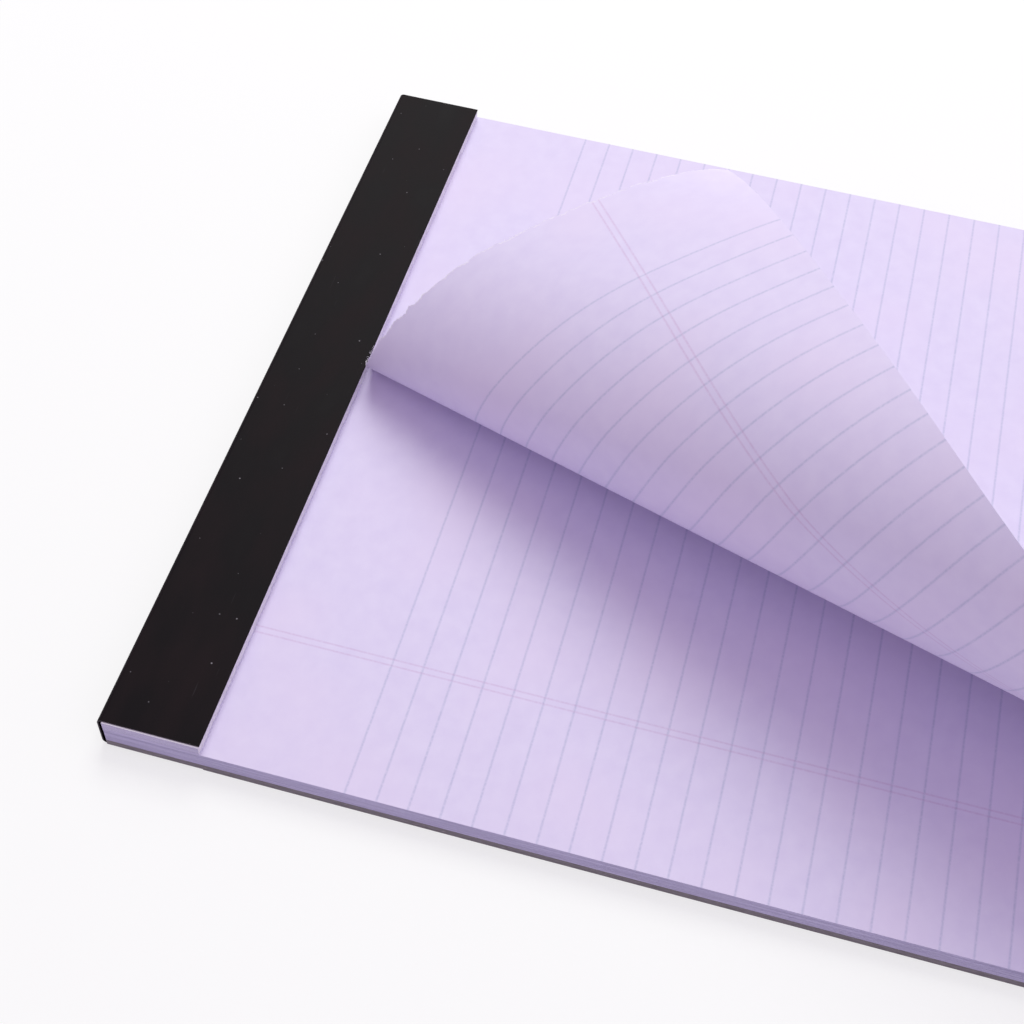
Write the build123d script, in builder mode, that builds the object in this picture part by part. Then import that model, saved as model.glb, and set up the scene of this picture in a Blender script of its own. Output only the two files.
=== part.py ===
from build123d import *
import os
from math import atan, cos, radians, sin, tan

os.makedirs("parts", exist_ok=True)

# A tape-bound writing pad lying on its back, seen with the tape away from the reader.
# X runs across the sheet, Y up the sheet towards the tape, Z up through the sheets.
# The origin is the middle of the board's back face.

# Pad
pad_width = 215.9  # across the sheet
sheet_length = 279.4  # sheet below its perforation, as torn off
stub_length = 22.1  # from the spine to the perforation
board_thick = 2.0
block_thick = 4.3  # all the sheets but the top one
paper_thick = 0.2
stubs_thick = 2.7  # stubs of sheets torn off before

# Binding tape
tape_thick = 0.3
tape_short = 0.1  # front flap stops this far short of the perforation
tape_back = 22.0  # back flap, from the spine
tape_bulge = 1.2  # tape stands this far off the sheets at the spine
tape_inset = 0.4  # bare at each end

# Staples
staple_count = 3
staple_pitch = 78.0
staple_setback = 10.0  # from the spine
staple_crown = 12.5
staple_clinch = 4.6  # length of each leg that is bent under
wire_thick = 0.5
wire_bend = 0.25  # radius outside each bend of the wire
wire_clearance = 0.05

# Tear and roll of the top sheet
tear_length = 125.6  # torn part of the perforation, from the reader's left
tear_gap = 0.3  # stub left short of the tear
cone_reach = 34.6  # the fan of straight lines meets this far above the perforation
flap_lean = 33.6  # degrees, straight lines of the flap from the sheet's sides
corner_nip = 1.0  # torn corner lost at the end of the tear
# Degrees of turn per whole torn edge, at even places from the tear's end to the torn corner.
turn_degrees = (0, 935, 155, 150, 130, 25, 35, 125, 210)
fold_count = 240  # small folds that make up the roll
foot_lines = 8  # straight lines drawn in each stretch of the roll
fan_lines = 8
flap_lines = 20

# Worked out from the sizes above
pad_length = stub_length + sheet_length
spine_y = pad_length / 2
tear_y = spine_y - stub_length
left_x = -pad_width / 2
board_top = board_thick
block_top = board_top + block_thick
sheet_top = block_top + paper_thick
stubs_top = sheet_top + stubs_thick
tape_front = stub_length - tape_short
staple_y = spine_y - staple_setback
cut_over = board_thick  # overrun of cuts


def turn_rate(place):
    """Degrees of turn per torn edge at a place from 0 to 1 along the tear."""
    step = place * (len(turn_degrees) - 1)
    low = min(int(step), len(turn_degrees) - 2)
    return turn_degrees[low] + (turn_degrees[low + 1] - turn_degrees[low]) * (step - low)


def straight_line(place):
    """Flat root, flat direction and length of the sheet's straight line at a place along the tear."""
    along = tear_length * (1 - place)
    lean = min(atan(tear_length * place / cone_reach), radians(flap_lean))
    root = Vector(left_x + along, tear_y, block_top)
    way = Vector(-sin(lean), -cos(lean), 0)
    to_end = sheet_length / cos(lean)
    to_side = along / sin(lean) if lean > 0 else to_end
    return root, way, min(to_end, to_side)


class Roll:
    """The flat sheet's axes, carried along as it is folded at one straight line after another."""

    def __init__(self):
        self.origin = Vector(0, 0, 0)
        self.axes = [Vector(1, 0, 0), Vector(0, 1, 0), Vector(0, 0, 1)]
        self.place = 0

    def turned(self, vector):
        return self.axes[0] * vector.X + self.axes[1] * vector.Y + self.axes[2] * vector.Z

    def move_to(self, place):
        count = max(1, round(fold_count * (place - self.place)))
        share = (place - self.place) / count
        for fold in range(count if place > self.place else 0):
            middle = self.place + share * (fold + 0.5)
            root, way, length = straight_line(middle)
            pivot = self.origin + self.turned(root)
            hinge = Axis(pivot, self.turned(way) * -1)
            angle = turn_rate(middle) * share
            self.origin = pivot + (self.origin - pivot).rotate(hinge, angle)
            self.axes = [axis.rotate(hinge, angle) for axis in self.axes]
        self.place = place

    def line_ends(self):
        """Both ends of the straight line here, and the sheet's upward direction."""
        root, way, length = straight_line(self.place)
        return self.origin + self.turned(root), self.origin + self.turned(root + way * length), self.axes[2]


def spread(start, stop, count):
    return [start + (stop - start) * step / count for step in range(count + 1)]


def rolled_stretch(roll, places, tip_way):
    """Solid of the sheet between two of its straight lines, with their tips along one side of it."""
    roots, tips, ups, root_ways, tip_ways = [], [], [], [], []
    for place in places:
        roll.move_to(place)
        root, tip, up = roll.line_ends()
        roots.append(root)
        tips.append(tip)
        ups.append(up * paper_thick)
        root_ways.append(roll.turned(Vector(-1, 0, 0)))
        tip_ways.append(roll.turned(tip_way))
    edges = []
    for points, ways in ((roots, root_ways), (tips, tip_ways)):
        ends = [ways[0], ways[-1]]
        edges.append(Edge.make_spline(points, tangents=ends, parameters=places))
        raised = [point + up for point, up in zip(points, ups)]
        edges.append(Edge.make_spline(raised, tangents=ends, parameters=places))
    root_low, root_high, tip_low, tip_high = edges
    faces = [
        Face.make_surface_from_curves(root_low, tip_low),
        Face.make_surface_from_curves(root_high, tip_high),
        Face.make_surface_from_curves(root_low, root_high),
        Face.make_surface_from_curves(tip_low, tip_high),
    ]
    for end in (0, -1):
        corners = [roots[end], tips[end], tips[end] + ups[end], roots[end] + ups[end]]
        faces.append(Face(Wire.make_polygon(corners, close=True)))
    return Solid(Shell(faces))


# The sheet's lower left corner, the end of the fan and the torn corner, as places along the tear.
corner_place = cone_reach / (cone_reach + sheet_length)
fan_place = cone_reach * tan(radians(flap_lean)) / tear_length
last_place = 1 - corner_nip / tear_length

# Staples: flat wire pressed in flush above and below, one group
leg_x = (staple_crown - wire_thick) / 2
staple_low = tape_thick
staple_high = stubs_top
with BuildPart() as staples:
    with BuildSketch(Plane.XZ.offset(-staple_y)) as wire:
        with GridLocations(staple_pitch, 0, staple_count, 1):
            with Locations((0, staple_low)):
                Rectangle(staple_crown, staple_high - staple_low, align=(Align.CENTER, Align.MIN))
        fillet(wire.vertices(), wire_bend)
        with GridLocations(staple_pitch, 0, staple_count, 1):
            with Locations((0, staple_low + wire_thick)):
                Rectangle(
                    staple_crown - 2 * wire_thick,
                    staple_high - staple_low - 2 * wire_thick,
                    align=(Align.CENTER, Align.MIN),
                    mode=Mode.SUBTRACT,
                )
            with Locations((0, staple_low)):
                Rectangle(
                    staple_crown - 2 * staple_clinch,
                    wire_thick,
                    align=(Align.CENTER, Align.MIN),
                    mode=Mode.SUBTRACT,
                )
    extrude(amount=wire_thick / 2, both=True)
staples.part.label = "staples"
export_step(staples.part, "parts/staples.step")

slot_width = wire_thick + 2 * wire_clearance
crown_slot = staple_crown + 2 * wire_clearance


def crown_slots():
    with Locations((0, staple_y)):
        with GridLocations(staple_pitch, 0, staple_count, 1):
            Rectangle(crown_slot, slot_width)


def leg_slots(mode=Mode.SUBTRACT):
    with Locations((0, staple_y)):
        with GridLocations(staple_pitch, 0, staple_count, 1):
            with GridLocations(2 * leg_x, 0, 2, 1):
                Rectangle(slot_width, slot_width, mode=mode)


# Backing board: chipboard, relieved at the top edge so that the back flap lies flush
with BuildPart() as backing_board:
    with BuildSketch() as outline:
        Rectangle(pad_width, pad_length)
    extrude(amount=board_thick)
    with BuildSketch() as relief:
        with Locations((0, spine_y)):
            Rectangle(pad_width, tape_back, align=(Align.CENTER, Align.MAX))
    extrude(amount=tape_thick, mode=Mode.SUBTRACT)
    with BuildSketch(Plane.XY.offset(tape_thick)) as clinches:
        crown_slots()
    extrude(amount=wire_thick + wire_clearance, mode=Mode.SUBTRACT)
    with BuildSketch() as legs:
        leg_slots(Mode.ADD)
    extrude(amount=board_thick + cut_over, mode=Mode.SUBTRACT)
backing_board.part.label = "backing_board"
export_step(backing_board.part, "parts/backing_board.step")

# Page block: the sheets under the top one
with BuildPart() as page_block:
    with BuildSketch(Plane.XY.offset(board_top)) as outline:
        Rectangle(pad_width, pad_length)
        leg_slots()
    extrude(amount=block_thick)
page_block.part.label = "page_block"
export_step(page_block.part, "parts/page_block.step")

# Top sheet: stub and flat part, then the roll in three stretches, whose straight lines end at the
# sheet's lower edge, fan out to its left side, and lie side by side to the torn corner
with BuildPart() as top_sheet:
    with BuildSketch(Plane.XY.offset(block_top)) as flat:
        with Locations((left_x, spine_y)):
            Rectangle(pad_width, stub_length - tear_gap, align=(Align.MIN, Align.MAX))
        with Locations((-left_x, spine_y)):
            Rectangle(pad_width - tear_length, pad_length, align=(Align.MAX, Align.MAX))
        leg_slots()
    extrude(amount=paper_thick)
    roll = Roll()
    add(rolled_stretch(roll, spread(0, corner_place, foot_lines), Vector(-1, 0, 0)))
    add(rolled_stretch(roll, spread(corner_place, fan_place, fan_lines), Vector(0, 1, 0)))
    add(rolled_stretch(roll, spread(fan_place, last_place, flap_lines), Vector(0, 1, 0)))
top_sheet.part.label = "top_sheet"
export_step(top_sheet.part, "parts/top_sheet.step")

# Stub stack: what is left under the tape of the sheets torn off before
with BuildPart() as stub_stack:
    with BuildSketch(Plane.XY.offset(sheet_top)) as outline:
        with Locations((0, spine_y)):
            Rectangle(pad_width, stub_length - tear_gap, align=(Align.CENTER, Align.MAX))
        leg_slots()
    extrude(amount=stubs_thick)
    with BuildSketch(Plane.XY.offset(stubs_top)) as crowns:
        crown_slots()
    extrude(amount=-(wire_thick + wire_clearance), mode=Mode.SUBTRACT)
stub_stack.part.label = "stub_stack"
export_step(stub_stack.part, "parts/stub_stack.step")

# Binding tape: front flap, rounded spine and back flap in one strip
with BuildPart() as binding_tape:
    with BuildSketch(Plane.YZ) as strip:
        with BuildLine() as wrap:
            FilletPolyline(
                (spine_y - tape_front, stubs_top),
                (spine_y + tape_bulge - tape_thick, stubs_top),
                (spine_y + tape_bulge - tape_thick, tape_thick),
                (spine_y - tape_back, tape_thick),
                radius=tape_bulge - tape_thick,
            )
            offset(amount=tape_thick, side=Side.LEFT)
        make_face()
    extrude(amount=pad_width / 2 - tape_inset, both=True)
binding_tape.part.label = "binding_tape"
export_step(binding_tape.part, "parts/binding_tape.step")
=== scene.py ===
import random
from math import radians

import bpy
import numpy as np
from mathutils import Euler, Matrix, Vector


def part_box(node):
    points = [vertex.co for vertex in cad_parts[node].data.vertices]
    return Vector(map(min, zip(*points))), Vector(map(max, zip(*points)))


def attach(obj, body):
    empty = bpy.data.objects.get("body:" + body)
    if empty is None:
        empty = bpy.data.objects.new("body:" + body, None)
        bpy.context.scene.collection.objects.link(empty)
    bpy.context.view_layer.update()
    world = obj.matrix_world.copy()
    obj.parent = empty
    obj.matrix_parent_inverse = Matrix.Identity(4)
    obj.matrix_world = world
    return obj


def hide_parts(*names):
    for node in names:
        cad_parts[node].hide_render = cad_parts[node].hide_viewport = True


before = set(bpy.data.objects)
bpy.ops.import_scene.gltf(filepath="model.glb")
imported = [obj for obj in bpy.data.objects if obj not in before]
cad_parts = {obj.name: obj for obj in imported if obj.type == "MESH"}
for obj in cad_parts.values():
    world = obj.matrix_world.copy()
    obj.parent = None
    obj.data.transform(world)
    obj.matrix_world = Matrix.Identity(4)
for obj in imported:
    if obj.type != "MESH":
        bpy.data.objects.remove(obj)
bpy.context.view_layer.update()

mm = 0.001
blockLow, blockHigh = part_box("page_block")
padWidth = blockHigh.x - blockLow.x
padLength = blockHigh.y - blockLow.y
random.seed(11)
print("frame loaded:", ", ".join(sorted(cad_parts)))


# Node helpers

def addNode(tree, kind, inputs=None, **settings):
    made = tree.nodes.new("ShaderNode" + kind)
    for key, value in settings.items():
        setattr(made, key, value)
    for key, value in (inputs or {}).items():
        if isinstance(value, bpy.types.NodeSocket):
            tree.links.new(value, made.inputs[key])
        else:
            made.inputs[key].default_value = value
    return made


def calc(tree, operation, first, second=0.0):
    return addNode(tree, "Math", {0: first, 1: second}, operation=operation).outputs[0]


def product(tree, first, *others):
    for other in others:
        first = calc(tree, "MULTIPLY", first, other)
    return first


def ramp(tree, value, zeroAt, oneAt):  # 0 to 1 between two values, either way round
    inputs = {"Value": value, "From Min": zeroAt, "From Max": oneAt}
    return addNode(tree, "MapRange", inputs).outputs[0]


def between(tree, share, low, high):  # low to high as a share goes from 0 to 1
    return addNode(tree, "MapRange", {"Value": share, "To Min": low, "To Max": high}).outputs[0]


def blendColour(tree, share, first, second):
    return addNode(tree, "Mix", {0: share, 6: first, 7: second}, data_type="RGBA").outputs[2]


def noise(tree, vector, scale=1.0, detail=2.0, roughness=0.5):
    inputs = {"Vector": vector, "Scale": scale, "Detail": detail, "Roughness": roughness}
    return addNode(tree, "TexNoise", inputs).outputs["Fac"]


def stretched(tree, vector, scale):
    return addNode(tree, "Mapping", {"Vector": vector, "Scale": scale}).outputs[0]


def inMillimetres(tree, socket):
    return addNode(tree, "VectorMath", {0: socket, "Scale": 1 / mm}, operation="SCALE").outputs[0]


def placeOnPart(tree):
    return inMillimetres(tree, addNode(tree, "TexCoord").outputs["Object"])


def parts(tree, vector):
    return addNode(tree, "SeparateXYZ", {0: vector}).outputs


def startMaterial(name):
    made = bpy.data.materials.new(name)
    made.use_nodes = True
    tree = made.node_tree
    tree.nodes.clear()
    return made, tree


def finishMaterial(tree, colour, height, depth, inputs):
    bump = addNode(tree, "Bump", {"Strength": 1.0, "Distance": depth, "Height": height})
    inputs = {"Base Color": colour, "Normal": bump.outputs[0], **inputs}
    shader = addNode(tree, "BsdfPrincipled", inputs)
    addNode(tree, "OutputMaterial", {"Surface": shader.outputs[0]})


# Ruled paper, drawn in the flat sheet's own millimetres: across from its left side, down from the spine

paper = {
    "colour": (0.775, 0.720, 0.918, 1),
    "cloud": (0.740, 0.680, 0.893, 1),  # thicker pulp
    "cloudScale": 0.22,
    "blush": (0.795, 0.708, 0.903, 1),  # faint warm patches
    "blushScale": 0.028,
    "blushShare": 0.55,
    "fibre": (0.93, 0.90, 0.96, 1),  # bare fibre along a tear
    "fibreScale": 2.4,
    "fibreReach": (0.45, 0.05),  # from the tear: none, all bare
    "clumpScale": 0.5,
    "clumpHeight": 0.8,  # by the single fibres'
    "slit": (0.42, 0.36, 0.55, 1),  # perforation, its tiny holes painted as shade
    "slitShare": 0.4,
    "slitReach": (0.10, 0.05),
    "slitLength": 0.65,  # by the pitch of the teeth
    "ruleInk": (0.36, 0.405, 0.60, 1),
    "firstRule": 54.1,
    "rulePitch": 6.93,
    "ruleCount": 35,
    "ruleWidth": 0.46,
    "marginInk": (0.57, 0.37, 0.61, 1),
    "margin": 33.5,
    "marginGap": 1.6,
    "marginWidth": 0.36,
    "inkEdge": 0.18,
    "inkScale": 1.7,
    "inkShare": 0.43,
    "backInk": 1.02,  # ink on the back by the front's
    "tornShare": 0.9,
    "roughness": (0.80, 0.92),
    "specular": 0.25,
    "grainDepth": 0.012 * mm,
}


def inkLine(tree, off, width):  # 1 on a printed line, soft at its sides
    return ramp(tree, off, width / 2 + paper["inkEdge"], width / 2 - paper["inkEdge"])


def ruleLines(tree, down):
    step = calc(tree, "DIVIDE", calc(tree, "SUBTRACT", down, paper["firstRule"]), paper["rulePitch"])
    off = calc(tree, "SUBTRACT", calc(tree, "FRACT", calc(tree, "ADD", step, 0.5)), 0.5)
    off = product(tree, calc(tree, "ABSOLUTE", off), paper["rulePitch"])
    fromFirst = calc(tree, "GREATER_THAN", step, -0.5)
    toLast = calc(tree, "LESS_THAN", step, paper["ruleCount"] - 0.5)
    return product(tree, inkLine(tree, off, paper["ruleWidth"]), fromFirst, toLast)


def marginLines(tree, across):
    off = calc(tree, "ABSOLUTE", calc(tree, "SUBTRACT", across, paper["margin"]))
    off = calc(tree, "ABSOLUTE", calc(tree, "SUBTRACT", off, paper["marginGap"] / 2))
    return inkLine(tree, off, paper["marginWidth"])


def tearFibre(tree, across, offTear, fibres, clumps):  # tufts along the torn part of the perforation
    onTear = calc(tree, "LESS_THAN", across, topSheet["tornLength"] / mm)
    tufts = product(tree, ramp(tree, fibres, 0.30, 0.55), ramp(tree, clumps, 0.38, 0.56))
    return product(tree, ramp(tree, offTear, *paper["fibreReach"]), tufts, onTear)


def makePaper(name, inkShare=0, tornShare=0, allTorn=False):
    made, tree = startMaterial(name)
    flat = inMillimetres(tree, addNode(tree, "UVMap", uv_map="flat").outputs[0])
    across, down = parts(tree, flat)[:2]
    cloud = noise(tree, flat, paper["cloudScale"], 3.0)
    blush = noise(tree, flat, paper["blushScale"], 1.0)
    fibres = noise(tree, flat, paper["fibreScale"], 4.0, 0.65)
    clumps = noise(tree, flat, paper["clumpScale"])
    colour = blendColour(tree, ramp(tree, cloud, 0.30, 0.70), paper["colour"], paper["cloud"])
    blushed = product(tree, ramp(tree, blush, 0.42, 0.68), paper["blushShare"])
    colour = blendColour(tree, blushed, colour, paper["blush"])
    if inkShare:
        taken = ramp(tree, noise(tree, flat, paper["inkScale"]), 0.1, 0.6)  # ink on the fibres
        taken = product(tree, taken, inkShare)
        rules = product(tree, ruleLines(tree, down), taken)
        margins = product(tree, marginLines(tree, across), taken)
        colour = blendColour(tree, rules, colour, paper["ruleInk"])
        colour = blendColour(tree, margins, colour, paper["marginInk"])
    offTear = calc(tree, "ABSOLUTE", calc(tree, "SUBTRACT", down, topSheet["stub"] / mm))
    # perforation slits: painted shade in their tiny holes
    along = calc(tree, "FRACT", calc(tree, "DIVIDE", across, topSheet["toothPitch"] / mm))
    slit = calc(tree, "LESS_THAN", along, paper["slitLength"])
    slit = product(tree, ramp(tree, offTear, *paper["slitReach"]), slit, paper["slitShare"])
    colour = blendColour(tree, slit, colour, paper["slit"])
    if tornShare:
        bare = ramp(tree, fibres, 0.15, 0.45) if allTorn else tearFibre(tree, across, offTear, fibres, clumps)
        colour = blendColour(tree, product(tree, bare, tornShare), colour, paper["fibre"])
    height = calc(tree, "ADD", fibres, product(tree, clumps, paper["clumpHeight"]))
    gloss = between(tree, fibres, *paper["roughness"])
    inputs = {"Roughness": gloss, "Specular IOR Level": paper["specular"]}
    finishMaterial(tree, colour, height, paper["grainDepth"], inputs)
    return made


# Cut edges of the sheets: fine streaks, one tone for each few sheets. The edge colour is darker than the
# paper, partly painted shade of the gaps between the sheets; the streaks blend towards a darker tone that is
# painted shade too, and the dust takes the same tone.

cutEdge = {
    # colour: darker than the paper, partly painted shade of the gaps between the sheets; shade: painted shade
    # between the sheets, also used for dust
    "colour": (0.67, 0.64, 0.84, 1),
    "shade": (0.47, 0.445, 0.62, 1),
    "streaks": (0.05, 0.05, 5.5),  # to a millimetre
    "dustScale": 1.4,
    "dustShare": 0.35,
    "roughness": 0.9,
    "specular": 0.2,
    "streakDepth": 0.03 * mm,
}


def makeCutEdge(name):
    made, tree = startMaterial(name)
    place = placeOnPart(tree)
    streaks = noise(tree, stretched(tree, place, cutEdge["streaks"]), detail=3.0, roughness=0.6)
    dust = ramp(tree, noise(tree, place, cutEdge["dustScale"], 3.0), 0.5, 0.8)
    # darker streaks: partly painted shade between the sheets
    colour = blendColour(tree, ramp(tree, streaks, 0.35, 0.68), cutEdge["colour"], cutEdge["shade"])
    colour = blendColour(tree, product(tree, dust, cutEdge["dustShare"]), colour, cutEdge["shade"])
    inputs = {"Roughness": cutEdge["roughness"], "Specular IOR Level": cutEdge["specular"]}
    finishMaterial(tree, colour, streaks, cutEdge["streakDepth"], inputs)
    return made


# Top sheet: flat on the far side, torn along the perforation on the near side and rolled over

topSheet = {
    "stub": 22.1 * mm,  # from the spine to the perforation
    "tornLength": 125.6 * mm,
    "coneReach": 34.6 * mm,  # the fan of straight lines meets this far above the perforation
    "lean": 33.6,  # degrees, straight lines of the flap
    "turn": (0, 935, 155, 150, 130, 25, 35, 125, 210),  # degrees per torn length, tear's end to torn corner
    "folds": 480,
    "thick": 0.18 * mm,
    "rise": 0.2 * mm,  # upper face above the block
    "toothPitch": 1.1 * mm,  # perforation
    "toothDepth": 0.42 * mm,
    "slitDepth": 0.25,  # by the teeth's
    "toothSpread": (0.35, 1.0),
    "wanderPitch": 1.6 * mm,  # slow waves of the torn edge
    "wanderDepth": 0.95 * mm,
    "stubShort": 0.04 * mm,
    "tearRows": (0.5 * mm, 2.0 * mm, 2.6 * mm, 3.4 * mm),  # rows of points, the first as ragged as the tear
    "stubRow": 1.5 * mm,
    "rowStep": 2.2 * mm,
    "flatStep": 6.0 * mm,
}
sheetTop = blockHigh.z + topSheet["rise"]

stubStack = {
    "sheets": 24,
    "tieShare": 0.30,  # depth of a stub's torn edge by the flap's
    "ragged": 0.06 * mm,
    "endStray": 0.08 * mm,
    "endSteps": 6,
    "endReach": 0.98,  # of the stub, the rest is torn
}
stubLow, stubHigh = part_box("stub_stack")


def flatPoint(across, down):
    return Vector((blockLow.x + across, blockHigh.y - down, sheetTop))


def rollFrames():  # the flat sheet's frame, carried along as it is folded at one straight line after another
    count = topSheet["folds"]
    place = (np.arange(count) + 0.5) / count
    along = topSheet["tornLength"] * (1 - place)
    lean = np.arctan(topSheet["tornLength"] * place / topSheet["coneReach"])
    lean = np.minimum(lean, radians(topSheet["lean"]))
    turn = np.interp(place, np.linspace(0, 1, len(topSheet["turn"])), topSheet["turn"])
    carried = Matrix.Identity(4)
    frames = [np.array(carried)]
    for fold in range(count):
        pivot = Matrix.Translation(flatPoint(along[fold], topSheet["stub"]))
        hinge = Vector((np.sin(lean[fold]), np.cos(lean[fold]), 0))
        folded = Matrix.Rotation(radians(turn[fold]) / count, 4, hinge)
        carried = carried @ pivot @ folded @ pivot.inverted()
        frames.append(np.array(carried))
    return along, np.tan(lean), np.array(frames)


rollAlong, rollSlope, rollCarried = rollFrames()


def rolledPoint(across, down):
    lines = rollAlong - rollSlope * max(down - topSheet["stub"], 0)
    count = topSheet["folds"]
    place = np.interp(-across, -lines, np.arange(count) + 0.5, left=0, right=count)
    low = min(int(place), count - 1)
    point = np.array([*flatPoint(across, down), 1.0])
    before, after = rollCarried[low] @ point, rollCarried[low + 1] @ point
    return tuple((before + (after - before) * (place - low))[:3])


def tornEdge(steps):  # ties of the perforation stand out in turn, each torn at its own length
    ties = []
    for step in range(steps):
        reach = topSheet["toothDepth"] * (1 if step % 2 else topSheet["slitDepth"])
        ties.append(reach * random.uniform(*topSheet["toothSpread"]))
    knots = round(steps * topSheet["toothPitch"] / 2 / topSheet["wanderPitch"])
    wander = [random.uniform(0, topSheet["wanderDepth"]) for knot in range(knots + 1)]
    return np.array(ties) + np.interp(np.linspace(0, knots, steps), range(knots + 1), wander)


def makePiece(name, points, faces, flats=None):
    mesh = bpy.data.meshes.new(name)
    mesh.from_pydata(points, [], faces)
    if flats:
        layer = mesh.uv_layers.new(name="flat")
        for loop in mesh.loops:
            layer.data[loop.index].uv = flats[loop.vertex_index]
    piece = bpy.data.objects.new(name, mesh)
    bpy.context.scene.collection.objects.link(piece)
    return piece


def buildTopSheet():
    stub, torn = topSheet["stub"], topSheet["tornLength"]
    nearCount = round(torn / topSheet["toothPitch"] * 2)
    farCount = round((padWidth - torn) / topSheet["flatStep"])
    across = [*np.linspace(0, torn, nearCount + 1), *np.linspace(torn, padWidth, farCount + 1)[1:]]
    tearRows = [stub + gap for gap in topSheet["tearRows"]]
    rowCount = round((padLength - tearRows[-1]) / topSheet["rowStep"])
    sheetRows = [stub, *tearRows, *np.linspace(tearRows[-1], padLength, rowCount + 1)[1:]]
    stubRows = [0, stub / 3, stub * 2 / 3, stub - topSheet["stubRow"], stub]
    points, flats, grid = [], [], {}

    def addPoint(key, side, down, jag, rolls):  # a torn edge is drawn as if it were straight
        grid[key] = len(points)
        points.append(rolledPoint(side, down + jag) if rolls else tuple(flatPoint(side, down - jag)))
        flats.append((side, down))

    flapEdge, stubEdge = tornEdge(nearCount), tornEdge(nearCount) * stubStack["tieShare"]
    for row, down in enumerate(sheetRows):
        for column, side in enumerate(across):
            jag = flapEdge[column] if row < 2 and column < nearCount else 0
            addPoint(("sheet", row, column), side, down, jag, True)
    for row, down in enumerate(stubRows):
        for column, side in enumerate(across):
            last = row == len(stubRows) - 1
            if last and column >= nearCount:  # not torn here
                grid["stub", row, column] = grid["sheet", 0, column]
                continue
            jag = stubEdge[column] + topSheet["stubShort"] if last else 0
            addPoint(("stub", row, column), side, down, jag, False)
    faces = []
    for name, rows in (("sheet", sheetRows), ("stub", stubRows)):
        for row in range(len(rows) - 1):
            for column in range(len(across) - 1):
                corners = ((row, column), (row + 1, column), (row + 1, column + 1), (row, column + 1))
                faces.append([grid[name, *corner] for corner in corners])
    return makePiece("ruled_top_sheet", points, faces, flats)


def markRimSharp(piece):
    uses = {}
    for face in piece.data.polygons:
        for key in face.edge_keys:
            uses[key] = uses.get(key, 0) + 1
    for edge in piece.data.edges:
        edge.use_edge_sharp = uses[edge.key] == 1


paperFront = makePaper("ruled_paper", paper["inkShare"], paper["tornShare"])
paperBack = makePaper("ruled_paper_back", paper["inkShare"] * paper["backInk"], paper["tornShare"])
sheetEdge = makeCutEdge("cut_paper_edge")
sheet = buildTopSheet()
sheet.data.shade_smooth()
markRimSharp(sheet)
for material in (paperFront, paperBack, sheetEdge):
    sheet.data.materials.append(material)
thicken = sheet.modifiers.new("paper thickness", "SOLIDIFY")
thicken.thickness = topSheet["thick"]
thicken.offset = -1
thicken.material_offset = 1
thicken.material_offset_rim = 2
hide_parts("top_sheet")
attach(sheet, "root")
print("top sheet rolled:", len(sheet.data.polygons), "faces")


# Stub stack: what is left of the sheets torn off before

def stackSheets(name, rings, low, high):  # one ring for each sheet, anticlockwise from above
    thick = (high - low) / len(rings)
    spots, levels = len(rings[0]), 2 * len(rings)
    points, flats, faces = [], [], []
    for index, ring in enumerate(rings):
        for height in (low + thick * index, low + thick * (index + 1)):
            for across, down in ring:
                points.append((*flatPoint(across, down)[:2], height))
                flats.append((across, down))
    for under in range(0, (levels - 1) * spots, spots):
        over = under + spots
        for spot in range(spots):
            after = (spot + 1) % spots
            faces.append((under + spot, under + after, over + after, over + spot))
    faces.append(tuple((levels - 1) * spots + spot for spot in range(spots)))
    faces.append(tuple(reversed(range(spots))))
    return makePiece(name, points, faces, flats)


def stubRings():
    stub, endSteps = topSheet["stub"], stubStack["endSteps"]
    steps = round(padWidth / topSheet["toothPitch"] * 2)
    ties = tornEdge(steps + 1) * stubStack["tieShare"]  # one perforation through all the sheets
    rings = []
    for sheetIndex in range(stubStack["sheets"]):
        left = random.uniform(0, stubStack["endStray"])
        right = padWidth - random.uniform(0, stubStack["endStray"])
        end = [(left, stub * stubStack["endReach"] * step / endSteps) for step in range(endSteps + 1)]
        ring = list(end)
        for step in range(steps + 1):
            torn = ties[step] + random.uniform(0, stubStack["ragged"])
            ring.append((left + (right - left) * step / steps, stub - topSheet["stubShort"] - torn))
        ring += [(right, down) for side, down in reversed(end)]
        rings.append(ring)
    return rings


stubs = stackSheets("torn_stub_stack", stubRings(), stubLow.z, stubHigh.z)
stubs.data.materials.append(makePaper("torn_paper", tornShare=paper["tornShare"], allTorn=True))
stubs.data.materials.append(makeCutEdge("cut_stub_edge"))
for face in stubs.data.polygons:
    face.material_index = 1 if abs(face.normal.x) > 0.9 else 0
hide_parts("stub_stack")
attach(stubs, "root")
print("stub stack:", stubStack["sheets"], "stubs")


# Fibres that the tear pulled out, along the flap's edge and the stubs'

tornFibres = {
    "count": 460,
    "length": (0.10 * mm, 0.40 * mm),
    "width": 0.05 * mm,
    "splay": 0.8,
    "lift": 0.25,
    "sag": 0.2,  # by the lift
    "clear": (0.5 * mm, 6.0 * mm),  # none by the sheet's side and the tear's end
    "flapRoot": 0.9,  # by the depth of the teeth
    "stubRoot": -0.5,
    "rootInset": 0.3,  # starts inside the sheet
}


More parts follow.
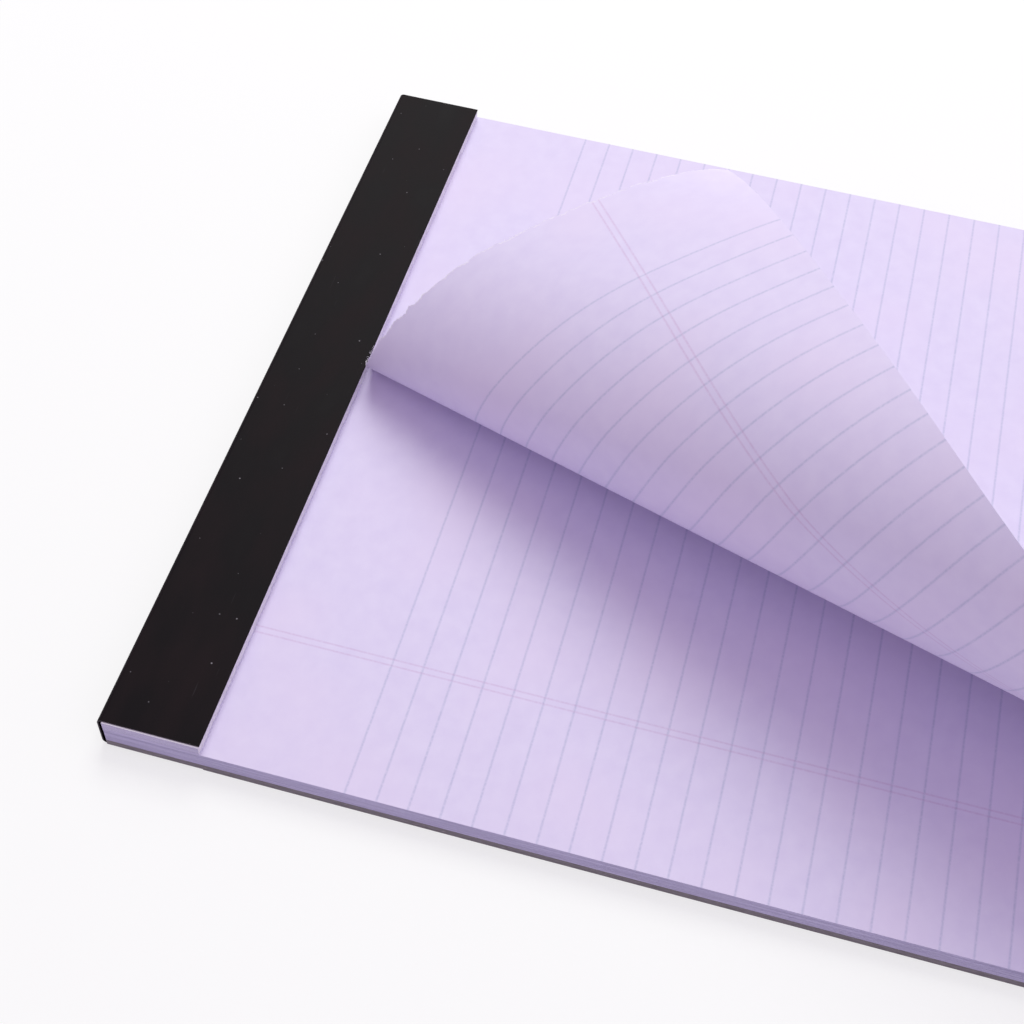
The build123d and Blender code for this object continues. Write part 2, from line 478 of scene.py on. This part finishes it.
def buildFibres():
    points, faces, flats = [], [], []
    width, step = tornFibres["width"], 0.5 * mm
    for index in range(tornFibres["count"]):
        onFlap = index % 3 > 0
        outward = -1 if onFlap else 1
        reach = topSheet["tornLength"] if onFlap else padWidth
        side = random.uniform(tornFibres["clear"][0], reach - tornFibres["clear"][1])
        start = topSheet["stub"] + topSheet["toothDepth"] * tornFibres["flapRoot" if onFlap else "stubRoot"]
        length = random.uniform(*tornFibres["length"])
        lean = random.uniform(-1, 1) * tornFibres["splay"] * length
        place = rolledPoint if onFlap else flatPoint
        rise = Vector((0, 0, 0 if onFlap else random.uniform(0, stubHigh.z - stubLow.z)))
        root = Vector(place(side, start)) + rise
        tip = Vector(place(side + lean, start + outward * length)) + rise
        along = (Vector(place(side + step, start)) + rise - root).normalized()
        up = along.cross(tip - root).normalized() * outward
        tip += up * random.uniform(-tornFibres["sag"], 1) * tornFibres["lift"] * length
        inside = root + (root - tip) * tornFibres["rootInset"] - up * width
        base = len(points)
        for corner in (along * (width / 2), along * (-width / 2), up * (-width * 2)):
            points.append(tuple(inside + corner))
        points.append(tuple(tip))
        flats += [(side, topSheet["stub"])] * 4
        for corners in ((0, 1, 3), (1, 2, 3), (2, 0, 3), (2, 1, 0)):
            faces.append([base + corner for corner in corners])
    return makePiece("torn_fibres", points, faces, flats)


fibres = buildFibres()
fibres.data.materials.append(makePaper("torn_fibre", tornShare=1.0, allTorn=True))
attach(fibres, "root")
print("torn fibres:", tornFibres["count"])


# Page block: every sheet's cut edge stands a little in or out of its neighbours

pageBlock = {
    "sheets": 42,
    "stray": 0.05 * mm,
    "wander": 0.06 * mm,
    "backShare": 0.12,  # sheets that stand well back
    "backTimes": 3,
    "stepsAcross": 10,
    "stepsDown": 14,
}


def padRing(insets):
    wide, long = pageBlock["stepsAcross"], pageBlock["stepsDown"]
    ring = [(padWidth * step / wide, 0) for step in range(wide)]
    ring += [(padWidth, padLength * step / long) for step in range(long)]
    ring += [(padWidth * (1 - step / wide), padLength) for step in range(wide)]
    ring += [(0, padLength * (1 - step / long)) for step in range(long)]
    shown = []
    for (across, down), inset in zip(ring, insets):
        across = min(max(across, inset), padWidth - inset)
        shown.append((across, min(max(down, inset), padLength - inset)))
    return shown[::-1]


def blockRings():
    spots = 2 * (pageBlock["stepsAcross"] + pageBlock["stepsDown"])
    rings = []
    for sheetIndex in range(pageBlock["sheets"]):
        stray = random.uniform(0, pageBlock["stray"])
        if random.random() < pageBlock["backShare"]:
            stray *= pageBlock["backTimes"]
        wander = [random.uniform(0, pageBlock["wander"]) for spot in range(spots)]
        rings.append(padRing([stray + (wander[spot] + wander[spot - 1]) / 2 for spot in range(spots)]))
    return rings


block = stackSheets("ruled_page_block", blockRings(), blockLow.z, blockHigh.z)
block.data.materials.append(makePaper("ruled_page", paper["inkShare"]))
block.data.materials.append(makeCutEdge("cut_block_edge"))
for face in block.data.polygons:
    face.material_index = 0 if face.normal.z > 0.9 and len(face.vertices) > 4 else 1
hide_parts("page_block")
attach(block, "root")
print("page block:", pageBlock["sheets"], "sheets")


# Binding tape: matte black, with a fine grain, dust and grey cut ends

tape = {
    "colour": (0.0034, 0.0014, 0.0034, 1),
    "worn": (0.0090, 0.0046, 0.0066, 1),
    "patches": (0.05, 0.12, 0.12),  # to a millimetre
    "dust": (0.26, 0.25, 0.27, 1),
    "speck": 0.20,  # mm
    "specks": 0.16,  # to a millimetre
    "bareShare": 0.60,  # of the places for specks
    "scuffs": (0.10, 1.6, 1.6),
    "scuffShare": 0.05,
    "cut": (0.070, 0.064, 0.070, 1),
    "roughness": (0.42, 0.60),
    "specular": 0.06,
    "grainScale": 2.2,
    "grainDepth": 0.02 * mm,
}


def makeTape(name):
    made, tree = startMaterial(name)
    place = placeOnPart(tree)
    grain = noise(tree, place, tape["grainScale"], 3.0, 0.6)
    patches = noise(tree, stretched(tree, place, tape["patches"]), detail=3.0)
    colour = blendColour(tree, ramp(tree, patches, 0.40, 0.75), tape["colour"], tape["worn"])
    side = parts(tree, place)
    unrolled = addNode(tree, "CombineXYZ", {0: side[0], 1: calc(tree, "ADD", side[1], side[2])}).outputs[0]
    inputs = {"Vector": unrolled, "Scale": tape["specks"]}
    cells = addNode(tree, "TexVoronoi", inputs, voronoi_dimensions="2D").outputs
    chosen = parts(tree, cells["Color"])
    size = product(tree, ramp(tree, chosen[0], tape["bareShare"], 1.0), tape["speck"] * tape["specks"])
    speck = calc(tree, "LESS_THAN", cells["Distance"], size)
    colour = blendColour(tree, product(tree, speck, chosen[1]), colour, tape["dust"])
    hairs = noise(tree, stretched(tree, place, tape["scuffs"]), detail=1.0)
    scuff = product(tree, ramp(tree, hairs, 0.76, 0.84), tape["scuffShare"])
    colour = blendColour(tree, scuff, colour, tape["dust"])
    facing = parts(tree, addNode(tree, "NewGeometry").outputs["True Normal"])
    cutEnd = ramp(tree, calc(tree, "ABSOLUTE", facing[0]), 0.8, 0.95)
    colour = blendColour(tree, cutEnd, colour, tape["cut"])
    inputs = {"Roughness": between(tree, patches, *tape["roughness"]), "Specular IOR Level": tape["specular"]}
    finishMaterial(tree, colour, grain, tape["grainDepth"], inputs)
    return made


# Backing board: grey chipboard with flecks

board = {
    "colour": (0.300, 0.280, 0.290, 1),
    "dark": (0.190, 0.175, 0.185, 1),
    "light": (0.430, 0.405, 0.400, 1),
    "pulp": (0.5, 0.25, 2.5),  # to a millimetre
    "flecks": (1.6, 0.7, 3.0),
    "lightShare": 0.7,
    "darkShare": 0.8,
    "roughness": 0.88,
    "specular": 0.2,
    "grainDepth": 0.04 * mm,
}


def makeBoard(name):
    made, tree = startMaterial(name)
    place = placeOnPart(tree)
    pulp = noise(tree, stretched(tree, place, board["pulp"]), detail=5.0, roughness=0.65)
    flecks = noise(tree, stretched(tree, place, board["flecks"]))
    lightFlecks = product(tree, ramp(tree, flecks, 0.66, 0.74), board["lightShare"])
    darkFlecks = product(tree, ramp(tree, flecks, 0.33, 0.26), board["darkShare"])
    colour = blendColour(tree, ramp(tree, pulp, 0.35, 0.70), board["colour"], board["dark"])
    colour = blendColour(tree, lightFlecks, colour, board["light"])
    colour = blendColour(tree, darkFlecks, colour, board["dark"])
    inputs = {"Roughness": board["roughness"], "Specular IOR Level": board["specular"]}
    finishMaterial(tree, colour, pulp, board["grainDepth"], inputs)
    return made


# Staples: drawn steel wire

wire = {
    "colour": (0.62, 0.62, 0.64, 1),
    "dull": (0.42, 0.42, 0.44, 1),
    "streaks": (0.4, 14.0, 0.4),  # to a millimetre
    "roughness": (0.25, 0.45),
    "drawDepth": 0.004 * mm,
}


def makeWire(name):
    made, tree = startMaterial(name)
    drawn = noise(tree, stretched(tree, placeOnPart(tree), wire["streaks"]), detail=3.0)
    colour = blendColour(tree, ramp(tree, drawn, 0.35, 0.75), wire["colour"], wire["dull"])
    inputs = {"Metallic": 1.0, "Roughness": between(tree, drawn, *wire["roughness"])}
    finishMaterial(tree, colour, drawn, wire["drawDepth"], inputs)
    return made


def finishNode(name, material):
    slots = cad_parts[name].data.materials
    slots.clear()
    slots.append(material)


finishNode("binding_tape", makeTape("matte_black_tape"))
finishNode("backing_board", makeBoard("grey_chipboard"))
finishNode("staples", makeWire("staple_wire"))
print("tape, board and staples finished")


# Floor, light and camera

studio = {
    "floor": 24.0,
    "floorDrop": 0.1 * mm,
    "floorColour": (0.95, 0.95, 0.95, 1),
    "floorWhite": 0.7,  # share of plain white that a viewer sees in the floor by the pad
    "whiteReach": (0.2, 2.0),  # metres from the pad: by it, all white
    "world": 0.50,
    "worldColour": (1.0, 0.85, 1.07, 1),
}
lamps = {
    "key": {"at": (0.64, 0.12, 1.05), "size": 0.72, "watts": 8.0, "colour": (1.0, 1.07, 0.95)},
    "fill": {"at": (-0.10, -0.85, 1.20), "size": 1.2, "watts": 1.0, "colour": (1.0, 1.03, 0.97)},
    # sheen on the tape
    "rim": {"at": (1.00, 0.42, 0.78), "size": 0.40, "watts": 1.6, "colour": (1.0, 1.05, 0.96)},
}
photoCamera = {
    "at": (-0.2583, 0.03165, 0.3203),
    "turn": (37.01, -2.11, -74.89),  # degrees
    "lens": 58.4,
    "clipStart": 0.01,
}


def seenRays(tree):  # 1 for what a viewer sees, straight, mirrored or through glass
    path = addNode(tree, "LightPath").outputs
    mirrored = calc(tree, "MAXIMUM", path["Is Glossy Ray"], path["Is Transmission Ray"])
    return calc(tree, "MAXIMUM", path["Is Camera Ray"], mirrored)


def makeFloor():
    half = studio["floor"] / 2
    corners = [(x * half, y * half, -studio["floorDrop"]) for x, y in ((-1, -1), (1, -1), (1, 1), (-1, 1))]
    floor = makePiece("floor", corners, [(0, 1, 2, 3)])
    made, tree = startMaterial("pale_floor")
    inputs = {"Base Color": studio["floorColour"], "Roughness": 0.9, "Specular IOR Level": 0.1}
    shader = addNode(tree, "BsdfPrincipled", inputs).outputs[0]
    white = addNode(tree, "Emission", {"Color": (1, 1, 1, 1), "Strength": 1.0}).outputs[0]
    place = addNode(tree, "TexCoord").outputs["Object"]
    away = addNode(tree, "VectorMath", {0: place}, operation="LENGTH").outputs["Value"]
    near, far = studio["whiteReach"]
    reach = {"Value": away, "From Min": near, "From Max": far, "To Min": studio["floorWhite"]}
    whiter = addNode(tree, "MapRange", reach, interpolation_type="SMOOTHSTEP").outputs[0]
    share = product(tree, seenRays(tree), whiter)
    surface = addNode(tree, "MixShader", {0: share, 1: shader, 2: white}).outputs[0]
    addNode(tree, "OutputMaterial", {"Surface": surface})
    floor.data.materials.append(made)


def makeWorld():
    world = bpy.data.worlds.new("studio")
    bpy.context.scene.world = world
    world.use_nodes = True
    tree = world.node_tree
    tree.nodes.clear()
    inputs = {"Color": studio["worldColour"], "Strength": studio["world"]}
    light = addNode(tree, "Background", inputs).outputs[0]
    white = addNode(tree, "Background", {"Color": (1, 1, 1, 1), "Strength": 1.0}).outputs[0]
    surface = addNode(tree, "MixShader", {0: seenRays(tree), 1: light, 2: white}).outputs[0]
    addNode(tree, "OutputWorld", {"Surface": surface})


def makeLamp(name):
    data = bpy.data.lights.new(name, "AREA")
    data.size = lamps[name]["size"]
    data.energy = lamps[name]["watts"]
    data.color = lamps[name]["colour"]
    lamp = bpy.data.objects.new(name, data)
    lamp.location = lamps[name]["at"]
    lamp.rotation_euler = Vector(lamp.location).to_track_quat("Z", "Y").to_euler()
    bpy.context.scene.collection.objects.link(lamp)


def makeCamera():
    data = bpy.data.cameras.new("photo_camera")
    data.lens = photoCamera["lens"]
    data.clip_start = photoCamera["clipStart"]
    camera = bpy.data.objects.new("photo_camera", data)
    camera.location = photoCamera["at"]
    camera.rotation_euler = Euler([radians(angle) for angle in photoCamera["turn"]])
    bpy.context.scene.collection.objects.link(camera)
    bpy.context.scene.camera = camera


makeFloor()
makeWorld()
for name in lamps:
    makeLamp(name)
makeCamera()
bpy.context.scene.view_settings.view_transform = "Standard"
print("floor, lamps and camera placed")
